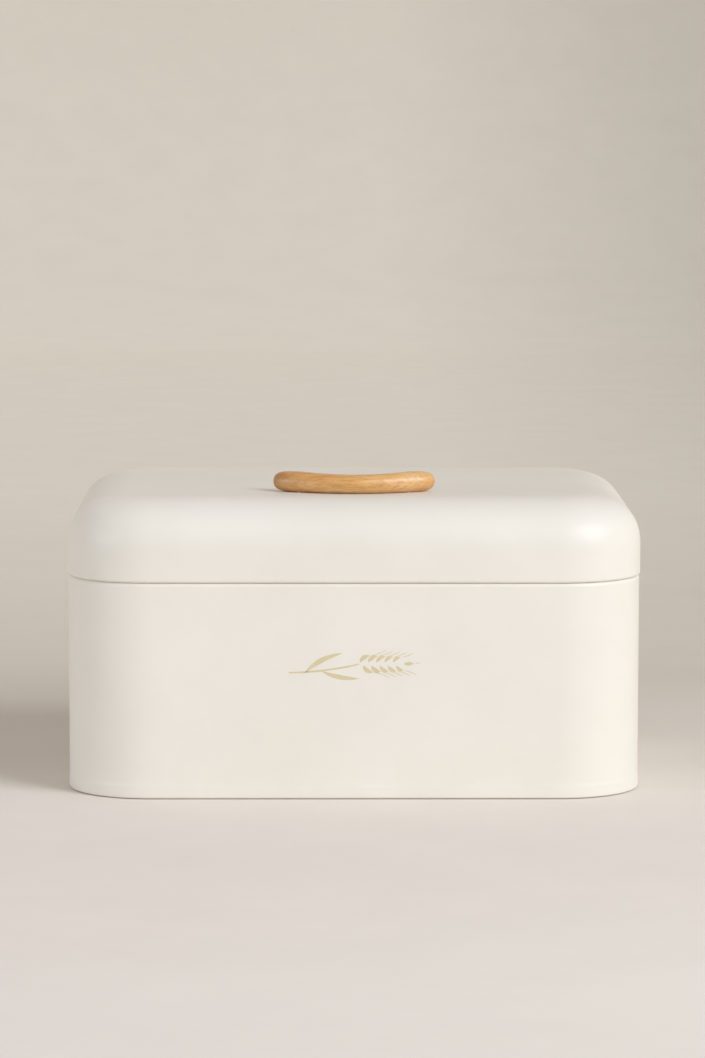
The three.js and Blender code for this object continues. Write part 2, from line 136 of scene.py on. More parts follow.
RIVET_HEAD_RADIUS = 2.7
RIVET_HEAD_HEIGHT = 1.1
RIVET_TAIL_HEIGHT = 0.8
RIVET_TAIL_TAPER = (0.85, 0.95)  # the tail's radius at its end and foot, in parts of the head's
RIVET_TAIL_ROUNDING = 0.3
HOLE_CLEARANCE = 0.25  # added to a screw's or rivet's radius

FOOT_RADIUS = 5.5
FOOT_ROUNDING = 0.7
FOOT_INSET = 10  # of a foot's centre from the body's wall

SPRIG_HEIGHT = 78  # of the printed sprig's middle above the worktop
PRINT_GAP = 0.01  # between the wall and the print
PRINT_THICKNESS = 0.05
EAR_START = 3  # to the right of the sprig's middle
GRAIN_PAIRS = 5
GRAIN_PITCH = 4.7
GRAIN_STAGGER = 0.4  # of the lower grains beyond the upper ones, in parts of the pitch
GRAIN_SHRINK = 0.06  # from one pair to the next, in parts of the first pair's size
GRAIN_WIDTH = 2.5
BRISTLE_WIDTH = 0.4
LEAFY = 0.8  # taper of a stroke that swells like a leaf
EVEN = 0.3  # and of one that stays even nearly to its ends

PAPER_HALF_WIDTH = 20000
PAPER_TURN_Y = 3600  # where the paper starts to turn up
PAPER_TURN_RADIUS = 1600
PAPER_HEIGHT = 4000
PANEL_LAMP_SIZE = 700  # side of the square lamp at the right front

CAMERA_SPOT = (-23.3, -2492.9, 417.4)
CAMERA_DIP = 6.305  # degrees below the horizon
CAMERA_TURN = -0.5293  # degrees anticlockwise, seen from above
CAMERA_ROLL = 0.067  # degrees anticlockwise, seen from behind the camera
CAMERA_LENS = 143.4  # focal length
CAMERA_SENSOR = 36  # width
CAMERA_REACH = (50, 50000)  # nearest and farthest distance that it sees

# ---- Places worked out from them ----
HALF_WIDTH = BODY_WIDTH / 2
HALF_DEPTH = BODY_DEPTH / 2
KNUCKLE_RADIUS = KNUCKLE_BORE + LEAF
KNUCKLE_LINE = KNUCKLE_BORE + LEAF / 2  # radius of a curl's middle line
AXIS_SETOFF = LID_OVERHANG + FIT_GAP + KNUCKLE_RADIUS  # behind the body's wall
AXIS_Y = HALF_DEPTH + AXIS_SETOFF
KNUCKLE_ROOM = 2 * (KNUCKLE_RADIUS + KNUCKLE_GAP)  # height and depth of a notch for a knuckle
WALL_LEAF_Y = -AXIS_SETOFF + FIT_GAP + LEAF / 2  # the body's leaf on its wall, from the axis
SCREW_X = SCREW_SPACING / 2
HEM_X = LID_OVERHANG - LID_HEM_RADIUS
HEM_Z = SEAM_HEIGHT + LID_HEM_RADIUS
SEAT_SPAN = LID_HEM_RADIUS + SHOULDER_RADIUS + SEAT_GAP
SHOULDER_START = HEM_Z - math.sqrt(SEAT_SPAN**2 - (HEM_X + SHOULDER_RADIUS) ** 2)
SHIFT_Y = (LID_OVERHANG - AXIS_SETOFF - STOP_REACH) / 2  # centres the whole bin's box
SIDES = (("left", -1), ("right", 1))
ENDS = (("front", -1), ("back", 1))

# ---- Fineness ----
CORNER_STEPS = 32  # facets in each plan corner
FILLET_STEPS = 40
HEM_STEPS = 12
BEND_STEPS = 6  # in small bends of the sheet and in the feet
CURL_STEPS = 40  # round a hinge knuckle
TURN_STEPS = 36  # facets round turned pieces
RIVET_DOME_STEPS = 10
SCREW_DOME_STEPS = 8
PIN_DOME_STEPS = 5
ROD_SIDES = 48  # facets round the pull
PULL_MIDDLE_STEPS = 24  # from the pull's middle to a screw
PULL_TIP_STEPS = 27  # from a screw to the tip
PULL_TIP_SWEEP = 89.7  # degrees; 90 would shrink the last section to a point
PAPER_TURN_STEPS = 24
TINY = 0.001  # radius that stands for a point on the axis of a turned piece
SUPPORT = 1.2  # distance from a bend of the points that keep the flats beside it flat

# ---- Cutters ----
SHEET_DRILL = 4  # length of the cutters through the sheet
LEAF_DRILL = 12  # and through a hinge leaf, which stands away from the axis
OVERRUN = 1  # of a notch beyond the piece that it is cut from


# ---- Lines in a plane ----
def arc(centre_x, centre_y, radius, start, end, steps):
    """Points along a circular arc, both ends included; the angles are in degrees."""
    angles = [math.radians(start + (end - start) * i / steps) for i in range(steps + 1)]
    return [(centre_x + radius * math.cos(a), centre_y + radius * math.sin(a)) for a in angles]


def rounded(line, radius, steps=5):
    """The line with its inner corners rounded off."""
    points = [Vector(p) for p in line]
    result = [points[0]]
    for before, corner, after in zip(points, points[1:], points[2:]):
        back = before - corner
        ahead = after - corner
        reach = radius * math.tan((math.pi - back.angle(ahead)) / 2)
        reach = min(reach, 0.45 * back.length, 0.45 * ahead.length)  # less than half a straight
        first = corner + back.normalized() * reach
        last = corner + ahead.normalized() * reach
        for i in range(steps + 1):
            t = i / steps
            result.append(first.lerp(corner, t).lerp(corner.lerp(last, t), t))
    return [tuple(p) for p in [*result, points[-1]]]


def supported(line):
    """The line with extra points beside the ends of its long straights."""
    result = [line[0]]
    for start, end in zip(line, line[1:]):
        span = Vector(end) - Vector(start)
        if span.length > 3 * SUPPORT:
            step = span.normalized() * SUPPORT
            result += [tuple(Vector(start) + step), tuple(Vector(end) - step)]
        result.append(end)
    return result


def offset_right(line, distance):
    """The line at a distance to the right of another, with mitred corners."""
    points = [Vector(p) for p in line]
    rights = []
    for start, end in zip(points, points[1:]):
        along = (end - start).normalized()
        rights.append(Vector((along.y, -along.x)))
    result = []
    for i, p in enumerate(points):
        before = rights[max(i - 1, 0)]
        after = rights[min(i, len(rights) - 1)]
        result.append(tuple(p + (before + after) * distance / (1 + before.dot(after))))
    return result


def bent_sheet(line, thickness):
    """The outline of a bent sheet whose outer face follows a line, its thickness to the right."""
    return [*line, *reversed(offset_right(line, thickness))]


def plan_loop(outset, height):
    """One loop round the bin's plan, a distance outside the body's wall."""
    loop = []
    for quadrant, (sx, sy) in enumerate(((1, 1), (-1, 1), (-1, -1), (1, -1))):
        start = quadrant * 90
        turn = math.radians(start)
        along = Vector((-math.sin(turn), math.cos(turn)))
        centre_x = sx * (HALF_WIDTH - CORNER_RADIUS)
        centre_y = sy * (HALF_DEPTH - CORNER_RADIUS)
        corner = arc(centre_x, centre_y, CORNER_RADIUS + outset, start, start + 90, CORNER_STEPS)
        before = Vector(corner[0]) - along * SUPPORT
        after = Vector(corner[-1]) + Vector((-along.y, along.x)) * SUPPORT
        loop += [(x, y, height) for x, y in (before, *corner, after)]
    return loop


# ---- Shapes: a list of points and a list of faces ----
def skin(loops, is_ring):
    """A solid through loops of equally many points: a ring, or closed by a face at each end."""
    count = len(loops[0])
    points = [p for loop in loops for p in loop]
    faces = []
    for band in range(len(loops) if is_ring else len(loops) - 1):
        here = band * count
        there = (band + 1) % len(loops) * count
        for i in range(count):
            j = (i + 1) % count
            faces.append((here + i, here + j, there + j, there + i))
    if not is_ring:
        last = (len(loops) - 1) * count
        faces += [tuple(range(count)), tuple(last + i for i in range(count))]
    return points, faces


def swept_round_plan(outline, is_ring):
    """A profile of (outset, height) pairs carried round the bin's plan."""
    return skin([plan_loop(outset, height) for outset, height in outline], is_ring)


def plate_across_x(outline, width, centre_x):
    """An outline in the Y-Z plane made into a plate across X."""
    ends = (centre_x - width / 2, centre_x + width / 2)
    return skin([[(x, y, z) for y, z in outline] for x in ends], False)


def plate_across_y(outline, front_y, back_y):
    """An outline in the X-Z plane made into a plate across Y."""
    return skin([[(x, y, z) for x, z in outline] for y in (front_y, back_y)], False)


def turned(profile, axis="Z"):
    """A piece turned on a lathe, from its profile of (radius, distance along the axis) pairs."""
    is_tube = profile[0] == profile[-1]
    stations = profile[:-1] if is_tube else profile
    loops = []
    for radius, along in stations:
        circle = arc(0, 0, max(radius, TINY), 0, 360, TURN_STEPS)[1:]
        places = {
            "X": [(along, a, b) for a, b in circle],
            "Y": [(b, along, a) for a, b in circle],
            "Z": [(a, b, along) for a, b in circle],
        }
        loops.append(places[axis])
    return skin(loops, is_tube)


def moved(shape, x=0, y=0, z=0):
    """The shape at another place."""
    points, faces = shape
    return [(p[0] + x, p[1] + y, p[2] + z) for p in points], faces


def together(shapes):
    """Several separate shapes as one."""
    points = []
    faces = []
    for more_points, more_faces in shapes:
        faces += [tuple(len(points) + i for i in face) for face in more_faces]
        points += more_points
    return points, faces


def rod(radius, length, axis):
    """A plain round cutter centred on the origin."""
    return turned([(radius, -length / 2), (radius, length / 2)], axis)


def block(size_x, size_y, size_z):
    """A square cutter centred on the origin."""
    half_y = size_y / 2
    half_z = size_z / 2
    outline = [(-half_y, -half_z), (half_y, -half_z), (half_y, half_z), (-half_y, half_z)]
    return plate_across_x(outline, size_x, 0)


# ---- Blender meshes ----
def mesh_object(name, shape):
    """A mesh object of a shape given in millimetres, in the row's frame."""
    points, faces = moved(shape, y=SHIFT_Y)
    mesh = bpy.data.meshes.new(name)
    mesh.from_pydata([Vector(p) * MM for p in points], [], faces)
    surface = bmesh.new()
    surface.from_mesh(mesh)
    bmesh.ops.recalc_face_normals(surface, faces=surface.faces)
    surface.to_mesh(mesh)
    surface.free()
    thing = bpy.data.objects.new(name, mesh)
    bpy.context.scene.collection.objects.link(thing)
    return thing


def shift_mesh(thing, x, y, z):
    """Moves the object's mesh, by a distance in millimetres."""
    thing.data.transform(Matrix.Translation(Vector((x, y, z)) * MM))


def apply_modifiers(thing):
    """Makes the modifiers' result the object's own mesh."""
    depsgraph = bpy.context.evaluated_depsgraph_get()
    result = bpy.data.meshes.new_from_object(thing.evaluated_get(depsgraph))
    thing.modifiers.clear()
    thing.data = result


def boolean(thing, operation, shape):
    """Adds a shape to the object, or cuts it away."""
    tool = mesh_object("tool", shape)
    modifier = thing.modifiers.new(operation, "BOOLEAN")
    modifier.operation = operation
    modifier.solver = "EXACT"
    modifier.object = tool
    apply_modifiers(thing)
    bpy.data.objects.remove(tool)


def soften_edges(thing, width):
    """Rounds the object's sharp edges a little."""
    modifier = thing.modifiers.new("edges", "BEVEL")
    modifier.width = width * MM
    modifier.segments = 2
    modifier.limit_method = "ANGLE"
    modifier.angle_limit = math.radians(40)
    apply_modifiers(thing)


def finish_piece(thing, material, body, stands_for=None, crease=30):
    """Gives the object its material and shading, ties it to its body and hides the CAD part that it
    stands for.

    Edges that bend by more than the crease, in degrees, are shaded sharp.
    """
    thing.data.materials.clear()
    thing.data.materials.append(material)
    thing.data.shade_smooth()
    thing.data.set_sharp_from_angle(angle=math.radians(crease))
    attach(thing, body)
    if stands_for:
        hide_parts(stands_for)


# ---- Materials ----
class Nodes:
    """A new material's node tree, with short ways to add to it.

    The places that it works with are in metres.
    """

    def __init__(self, name):
        self.material = bpy.data.materials.new(name)
        self.material.use_nodes = True
        self.tree = self.material.node_tree
        self.shader = self.tree.nodes["Principled BSDF"]
        self.place = self.add("ShaderNodeTexCoord").outputs["Object"]  # for its textures

    def add(self, kind, settings=None, **inputs):
        """Adds a node; an input is a plain value or another node's output."""
        node = self.tree.nodes.new(kind)
        for key, value in (settings or {}).items():
            setattr(node, key, value)
        for key, value in inputs.items():
            self.feed(node.inputs[key.replace("_", " ")], value)
        return node

    def feed(self, socket, value):
        """Links an output to an input, or sets the input's value."""
        if isinstance(value, bpy.types.NodeSocket):
            self.tree.links.new(value, socket)
        else:
            socket.default_value = value

    def stretched(self, scale, tilt=(0, 0, 0)):
        """Object coordinates turned by a tilt in degrees, then scaled along each axis."""
        turned_place = self.add(
            "ShaderNodeMapping",
            {"vector_type": "POINT"},
            Vector=self.place,
            Rotation=[math.radians(a) for a in tilt],
            Scale=scale,
        )
        return turned_place.outputs["Vector"]

    def noise(self, scale, vector=None, detail=2.0, roughness=0.5, distortion=0.0):
        """A noise texture's value; the scale is in features per metre."""
        node = self.add(
            "ShaderNodeTexNoise",
            Vector=vector or self.place,
            Scale=scale,
            Detail=detail,
            Roughness=roughness,
            Distortion=distortion,
        )
        return node.outputs["Fac"]

    def span(self, value, low, high, to_low, to_high):
        """The value mapped from one range to another, and held inside it."""
        node = self.add(
            "ShaderNodeMapRange",
            Value=value,
            From_Min=low,
            From_Max=high,
            To_Min=to_low,
            To_Max=to_high,
        )
        return node.outputs["Result"]

    def ramp(self, value, stops):
        """A colour ramp from (position, sRGB colour) stops."""
        node = self.add("ShaderNodeValToRGB", Fac=value)
        elements = node.color_ramp.elements
        while len(elements) < len(stops):
            elements.new(0.5)
        for element, (position, colour) in zip(elements, stops):
            element.position = position
            element.color = linear(colour)
        return node.outputs["Color"]

    def mix(self, factor, first, second, blend="MIX"):
        """One colour mixed into another, through the Mix node's colour sockets."""
        node = self.add("ShaderNodeMix", {"data_type": "RGBA", "blend_type": blend})
        for number, value in ((0, factor), (6, first), (7, second)):
            self.feed(node.inputs[number], value)
        return node.outputs[2]

    def maths(self, first, second=0.0, operation="ADD"):
        """The sum of two values, or the result of another operation."""
        node = self.add("ShaderNodeMath", {"operation": operation})
        self.feed(node.inputs[0], first)
        self.feed(node.inputs[1], second)
        return node.outputs[0]

    def bump(self, height, strength, depth):
        """Feeds the shader a bumpy normal; the depth is in millimetres."""
        node = self.add("ShaderNodeBump", Height=height, Strength=strength, Distance=depth * MM)
        self.feed(self.shader.inputs["Normal"], node.outputs["Normal"])

    def set(self, **inputs):
        """Sets or links the shader's own inputs."""
        for key, value in inputs.items():
            self.feed(self.shader.inputs[key.replace("_", " ")], value)


def linear(colour):
    """A linear RGBA colour from sRGB values of 0 to 255."""
    parts = [c / 255 for c in colour]
    return (*[p / 12.92 if p <= 0.04045 else ((p + 0.055) / 1.055) ** 2.4 for p in parts], 1.0)


def powder_coat():
    """Satin cream powder coat: faint clouds in the colour and a fine orange-peel surface."""
    n = Nodes("powder_coat")
    clouds = n.noise(16, detail=4.0, roughness=0.6)
    peel = n.noise(900, detail=1.0)
    n.set(
        Base_Color=n.ramp(clouds, [(0.3, (232, 227, 216)), (0.7, (237, 232, 222))]),
        Roughness=n.span(n.noise(60, detail=3.0), 0.3, 0.7, 0.435, 0.445),
        IOR=1.5,
    )
    n.bump(peel, 0.12, 0.05)
    return n.material


def varnished_wood():
    """Honey-coloured beech: long streaks, fine rays and short dark flecks under a thin varnish, with
    painted shade that makes it darker to the left and at its left end, and lighter to the right.
    """
    n = Nodes("varnished_wood")
    grain_tilt = (0, 4, 0)  # the grain runs nearly along the pull
    streaks = n.noise(1, n.stretched((14, 150, 230), grain_tilt), 4.0, 0.62, 0.35)
    lines = n.noise(1, n.stretched((50, 600, 900), grain_tilt), 3.0, 0.6)
    flecks = n.noise(1, n.stretched((330, 1100, 1300), grain_tilt), 2.0, 0.5)
    patches = n.noise(38, detail=2.0)
    along = n.add("ShaderNodeSeparateXYZ", Vector=n.place).outputs["X"]
    # Painted light and shade: the grain's tone runs darker to the left and lighter to the right along
    # the pull
    painted_light_to_right = n.span(along, -0.045, 0.045, -0.05, 0.06)
    base = n.ramp(
        n.maths(streaks, painted_light_to_right),
        [
            (0.32, (196, 137, 73)),
            (0.45, (220, 167, 98)),
            (0.56, (228, 182, 115)),
            (0.7, (233, 195, 139)),
        ],
    )
    warmer = n.mix(n.span(patches, 0.4, 0.7, 0.0, 0.4), base, linear((212, 145, 82)))
    lined = n.mix(n.span(lines, 0.46, 0.68, 0.0, 0.5), warmer, linear((176, 118, 62)))
    flecked = n.mix(n.span(flecks, 0.62, 0.72, 0.0, 0.4), lined, linear((118, 70, 36)))
    # Painted shade: the pull's left end turns darker brown
    painted_shade_left_end = n.span(along, -0.046, -0.03, 0.6, 0.0)
    n.set(
        Base_Color=n.mix(painted_shade_left_end, flecked, linear((160, 103, 55))),
        Roughness=n.span(streaks, 0.3, 0.7, 0.42, 0.52),
        Coat_Weight=0.5,
        Coat_Roughness=0.34,
        IOR=1.5,
    )
    n.bump(n.maths(lines, flecks), 0.18, 0.08)
    return n.material


def satin_steel():
    """Nickel-plated steel with fine brush marks."""
    n = Nodes("satin_steel")
    brushing = n.noise(1, n.stretched((300, 4000, 4000)), 2.0)
    cloud = n.noise(220, detail=2.0)
    n.set(
        Base_Color=n.ramp(cloud, [(0.3, (196, 194, 189)), (0.7, (212, 210, 205))]),
        Metallic=1.0,
        Roughness=n.span(brushing, 0.3, 0.7, 0.24, 0.36),
    )
    n.bump(brushing, 0.1, 0.02)
    return n.material


def foot_rubber():
    """Matte dark rubber."""
    n = Nodes("foot_rubber")
    speckle = n.noise(1500, detail=2.0)
    n.set(
        Base_Color=n.ramp(speckle, [(0.3, (44, 42, 40)), (0.7, (56, 54, 51))]),
        Roughness=n.span(speckle, 0.3, 0.7, 0.78, 0.9),
    )
    n.bump(speckle, 0.2, 0.05)
    return n.material


def tan_print():
    """Flat tan ink, a little uneven."""
    n = Nodes("tan_print")
    cloud = n.noise(180, detail=3.0)
    n.set(
        Base_Color=n.ramp(cloud, [(0.35, (211, 195, 155)), (0.65, (219, 204, 166))]),
        Roughness=0.55,
    )
    return n.material


COAT = powder_coat()
WOOD = varnished_wood()
STEEL = satin_steel()
RUBBER = foot_rubber()
INK = tan_print()


# ---- Body ----
def rivet_hole_cutters(height):
    """Round cutters through the back wall for one row of rivets at each hinge."""
    cutter = rod(RIVET_RADIUS + HOLE_CLEARANCE, SHEET_DRILL, "Y")
    middles = [side * HINGE_SPACING / 2 for _, side in SIDES]
    spots = [x + side * RIVET_SPACING / 2 for x in middles for _, side in SIDES]
    return [moved(cutter, x, HALF_DEPTH, height) for x in spots]


def add_body_wall():
    """One strip: hemmed neck, rounded shoulder, upright wall and a flared, rolled rim."""
    neck_top = SEAM_HEIGHT + NECK_RISE
    neck_hem = -NECK_INSET - NECK_HEM_RADIUS
    neck_bend_x = -NECK_INSET + NECK_FILLET
    shoulder_top = SHOULDER_START + SHOULDER_RADIUS
    rim = RIM_HEIGHT + BASE_HEM_RADIUS
    rim_x = BASE_FLARE - BASE_HEM_RADIUS
    flare = [
        (0, BASE_FLARE_HEIGHT + 2 * FLARE_SKIRT),
        (0, BASE_FLARE_HEIGHT),
        (BASE_FLARE, BASE_FLARE_HEIGHT - FLARE_SLOPE),
        (BASE_FLARE, BASE_FLARE_HEIGHT - FLARE_SLOPE - FLARE_SKIRT),
    ]
    face = [
        (neck_hem - NECK_HEM_RADIUS, neck_top - NECK_HEM_RADIUS - HEM_RETURN),
        *arc(neck_hem, neck_top - NECK_HEM_RADIUS, NECK_HEM_RADIUS, 180, 0, HEM_STEPS),
        *arc(neck_bend_x, shoulder_top + NECK_FILLET, NECK_FILLET, 180, 270, BEND_STEPS),
        *arc(-SHOULDER_RADIUS, SHOULDER_START, SHOULDER_RADIUS, 90, 0, HEM_STEPS),
        *rounded(flare, FLARE_ROUNDING),
        *arc(rim_x, rim, BASE_HEM_RADIUS, 0, -180, HEM_STEPS),
        (rim_x - BASE_HEM_RADIUS, rim + BASE_HEM_RETURN),
    ]
    wall = mesh_object("wall", swept_round_plan(bent_sheet(supported(face), SHEET), True))
    vent_x = [(i - (VENT_COUNT - 1) / 2) * VENT_PITCH for i in range(VENT_COUNT)]
    vent = rod(VENT_RADIUS, SHEET_DRILL, "Y")
    vents = [moved(vent, x, HALF_DEPTH, VENT_HEIGHT) for x in vent_x]
    holes = rivet_hole_cutters(HINGE_HEIGHT - RIVET_OFFSET)
    boolean(wall, "DIFFERENCE", together([*vents, *holes]))
    finish_piece(wall, COAT, "body", "body_wall")


def add_base_panel():
    """A pressed floor with a raised middle, its edge turned down into the wall's rim."""
    bend = 2 * SHEET
    raised = PANEL_TOP + PANEL_EMBOSS
    slope = [
        (-PANEL_BORDER - 2 * PANEL_SLOPE, raised),
        (-PANEL_BORDER - PANEL_SLOPE, raised),
        (-PANEL_BORDER, PANEL_TOP),
        (-PANEL_BORDER + 2 * PANEL_SLOPE, PANEL_TOP),
    ]
    face = [
        *rounded(slope, PANEL_ROUNDING),
        *arc(-PANEL_RIM_INSET - bend, PANEL_TOP - bend, bend, 90, 0, BEND_STEPS),
        (-PANEL_RIM_INSET, PANEL_TOP - PANEL_RIM_DROP),
    ]
    panel = mesh_object("floor_panel", swept_round_plan(bent_sheet(supported(face), SHEET), False))
    finish_piece(panel, COAT, "body", "base_panel")


def add_feet():
    """Four turned rubber feet, one in each corner of the base panel's underside."""
    top = PANEL_TOP - SHEET - FIT_GAP
    profile = [
        (0, 0),
        *arc(FOOT_RADIUS - FOOT_ROUNDING, FOOT_ROUNDING, FOOT_ROUNDING, -90, 0, BEND_STEPS),
        (FOOT_RADIUS, top - SHEET),
        (FOOT_RADIUS, top),
        (0, top),
    ]
    from_corner = CORNER_RADIUS - (CORNER_RADIUS - FOOT_INSET) * math.sqrt(0.5)
    for end_name, end in ENDS:
        for side_name, side in SIDES:
            x = side * (HALF_WIDTH - from_corner)
            y = end * (HALF_DEPTH - from_corner)
            foot = mesh_object(f"{end_name}_{side_name}_foot", moved(turned(profile), x, y))
            finish_piece(foot, RUBBER, "body", f"foot_{end_name}_{side_name}")


# ---- Lid ----
def add_lid():
    """A pressed lid with a broad rounded edge and a hem round its mouth."""
    fillet = []
    for i in range(FILLET_STEPS + 1):
        angle = (1 - i / FILLET_STEPS) * math.pi / 2
        across = abs(math.cos(angle)) ** (2 / LID_FILLET_POWER)
        up = abs(math.sin(angle)) ** (2 / LID_FILLET_POWER)
        outset = LID_OVERHANG - LID_FILLET_IN * (1 - across)
        fillet.append((outset, LID_TOP - LID_FILLET_DOWN * (1 - up)))
    flat_border = 4  # of the lid's top, inside its rounded edge
    face = [
        (fillet[0][0] - flat_border, LID_TOP),
        *fillet,
        *arc(HEM_X, HEM_Z, LID_HEM_RADIUS, 0, -180, HEM_STEPS),
        (HEM_X - LID_HEM_RADIUS, HEM_Z + HEM_RETURN),
    ]
    lid = mesh_object("lid", swept_round_plan(bent_sheet(supported(face), SHEET), False))
    screw_hole = rod(SCREW_RADIUS + HOLE_CLEARANCE, SHEET_DRILL, "Z")
    screw_holes = [moved(screw_hole, x, pull_y(x), LID_TOP) for x in (-SCREW_X, SCREW_X)]
    holes = rivet_hole_cutters(HINGE_HEIGHT + RIVET_OFFSET)
    boolean(lid, "DIFFERENCE", together([*screw_holes, *holes]))
    finish_piece(lid, COAT, "lid", "lid_shell")


# ---- Pull ----
def pull_y(x):
    """Where the pull's middle line runs: bowed to the front, straightening at its ends."""
    arch = x**2 / (2 * PULL_BOW_RADIUS)
    return PULL_SETBACK - HALF_DEPTH + arch / math.sqrt(1 + (x / PULL_LEVEL_OFF) ** 4)


def pull_section(x):
    """The rod's round section square to the bow, with a flat seat against the lid."""
    swell = min(abs(x) / SCREW_X, 1) ** 2
    end = max(0, (abs(x) - SCREW_X) / (PULL_HALF_LENGTH - SCREW_X))
    taper = (1 - end**PULL_END_POWER) ** (1 / PULL_END_POWER)
    radius = taper * (PULL_RADIUS + PULL_SWELL * swell)
    half_step = 0.5  # for the bow's slope
    across = Vector((pull_y(x - half_step) - pull_y(x + half_step), 2 * half_step)).normalized()
    height = LID_TOP + PULL_GAP + PULL_RADIUS + (PULL_SWELL - PULL_SEAT) * swell
    seat = LID_TOP + PULL_GAP
    circle = arc(0, 0, radius, 0, 360, ROD_SIDES)[1:]
    return [(x + across.x * a, pull_y(x) + across.y * a, max(height + b, seat)) for a, b in circle]


def add_pull():
    """A bowed rod with rounded ends, drilled from below for its two screws."""
    numbers = range(-PULL_MIDDLE_STEPS, PULL_MIDDLE_STEPS + 1)
    middle = [SCREW_X * (i / PULL_MIDDLE_STEPS) for i in numbers]
    tips = []
    for i in range(1, PULL_TIP_STEPS + 1):
        sweep = math.radians(PULL_TIP_SWEEP * i / PULL_TIP_STEPS)
        reach = math.sin(sweep) ** (2 / PULL_END_POWER)
        tips.append(SCREW_X + (PULL_HALF_LENGTH - SCREW_X) * reach)
    stations = [*[-x for x in reversed(tips)], *middle, *tips]
    pull = mesh_object("pull", skin([pull_section(x) for x in stations], False))
    pilot = rod(SCREW_RADIUS + HOLE_CLEARANCE, 2 * (SCREW_REACH + PILOT_END_GAP), "Z")
    pilots = [moved(pilot, x, pull_y(x), LID_TOP) for x in (-SCREW_X, SCREW_X)]
    boolean(pull, "DIFFERENCE", together(pilots))
    finish_piece(pull, WOOD, "lid", "handle", crease=50)


def add_pull_screws():
    """A pan-head screw and a washer under the lid at each end of the pull."""
    washer_top = LID_TOP - SHEET - FIT_GAP
    washer_bottom = washer_top - WASHER_THICKNESS
    head_top = washer_bottom - FIT_GAP
    head_bottom = head_top - SCREW_HEAD_HEIGHT
    tip = LID_TOP + SCREW_REACH
    dome_x = SCREW_HEAD_RADIUS - SCREW_HEAD_ROUNDING
    dome_z = head_bottom + SCREW_HEAD_ROUNDING
    dome = arc(dome_x, dome_z, SCREW_HEAD_ROUNDING, -90, 0, SCREW_DOME_STEPS)
    screw_profile = [
        (0, head_bottom),
        *dome,
        (SCREW_HEAD_RADIUS, head_top),
        (SCREW_RADIUS, head_top),
        (SCREW_RADIUS, tip - SCREW_POINT),
        (0, tip),
    ]
    hole = SCREW_RADIUS + HOLE_CLEARANCE
    washer_profile = [
        (hole, washer_bottom),
        (WASHER_RADIUS - WASHER_EDGE, washer_bottom),
        (WASHER_RADIUS, washer_bottom + WASHER_EDGE),
        (WASHER_RADIUS, washer_top - WASHER_EDGE),
        (WASHER_RADIUS - WASHER_EDGE, washer_top),
        (hole, washer_top),
        (hole, washer_bottom),
    ]
    recess = [
        block(RECESS_SPAN, RECESS_WIDTH, 2 * RECESS_DEPTH),
        block(RECESS_WIDTH, RECESS_SPAN, 2 * RECESS_DEPTH),
    ]
    for name, side in SIDES:
        x = side * SCREW_X
        y = pull_y(x)
        screw = mesh_object(f"{name}_pull_screw", moved(turned(screw_profile), x, y))
        for arm in recess:
            boolean(screw, "DIFFERENCE", moved(arm, x, y, head_bottom))
        finish_piece(screw, STEEL, "lid", f"handle_screw_{name}")
        washer = mesh_object(f"{name}_pull_washer", moved(turned(washer_profile), x, y))
        finish_piece(washer, STEEL, "lid", f"handle_washer_{name}")


# ---- Hinges: leaf sections are drawn round the axis, with the bin on the side of -Y ----
def leaf_plate(line):
    """A hinge leaf bent along a line, before its knuckles are cut out."""
    return plate_across_x(bent_sheet(offset_right(line, -LEAF / 2), LEAF), HINGE_WIDTH, 0)


def leaf_hole_cutters(height):
    """Round cutters for a leaf's two rivets."""
    cutter = rod(RIVET_RADIUS + HOLE_CLEARANCE, LEAF_DRILL, "Y")
    return [moved(cutter, side * RIVET_SPACING / 2, 0, height) for _, side in SIDES]


def lid_leaf(name):
    """The lid's leaf hangs from the lid and curls under and round the pin in one knuckle."""
    curl = arc(0, 0, KNUCKLE_LINE, 180, 180 + CURL_SWEEP, CURL_STEPS)
    leaf = mesh_object(name, leaf_plate([(-KNUCKLE_LINE, LEAF_HEIGHT), *curl]))
    notch_width = (HINGE_WIDTH - LID_KNUCKLE_WIDTH) / 2 + OVERRUN
    notch = block(notch_width, KNUCKLE_ROOM, KNUCKLE_ROOM)
    notch_x = (LID_KNUCKLE_WIDTH + notch_width) / 2
    notches = [moved(notch, side * notch_x) for _, side in SIDES]
    boolean(leaf, "DIFFERENCE", together([*notches, *leaf_hole_cutters(RIVET_OFFSET)]))
    return leaf


def stop_ear(end):
    """An ear at the end of the body's leaf, which the lid's leaf comes to rest on."""
    swing = math.radians(LID_SWING)

    def stop_height(y):
        return (KNUCKLE_BORE + y * math.cos(swing)) / math.sin(swing) - STOP_GAP

    outline = [
        (WALL_LEAF_Y, -LEAF_HEIGHT + LEAF),
        (STOP_REACH, -STOP_DROP),
        (STOP_REACH, stop_height(STOP_REACH)),
        (0, stop_height(0)),
        (WALL_LEAF_Y, 0),
    ]
    return plate_across_x(outline, LEAF, end * (HINGE_WIDTH - LEAF) / 2)


def body_leaf(name):
    """The body's leaf stands on the wall, steps out to clear the lid and curls over the pin."""
    step = [
        (WALL_LEAF_Y, -LEAF_HEIGHT),
        (WALL_LEAF_Y, -LEAF_STEP_FOOT),
        (-KNUCKLE_LINE, -LEAF_STEP_HEAD),
        (-KNUCKLE_LINE, 0),
    ]
    curl = arc(0, 0, KNUCKLE_LINE, 180, 180 - CURL_SWEEP, CURL_STEPS)
    leaf = mesh_object(name, leaf_plate([*rounded(step, LEAF_STEP_ROUNDING), *curl[1:]]))
    for _, end in SIDES:
        boolean(leaf, "UNION", stop_ear(end))
    notch = block(LID_KNUCKLE_WIDTH + 2 * KNUCKLE_GAP, KNUCKLE_ROOM, KNUCKLE_ROOM)
    boolean(leaf, "DIFFERENCE", notch)
    boolean(leaf, "DIFFERENCE", rod(KNUCKLE_BORE, 2 * HINGE_WIDTH, "X"))
    boolean(leaf, "DIFFERENCE", together(leaf_hole_cutters(-RIVET_OFFSET)))
    return leaf


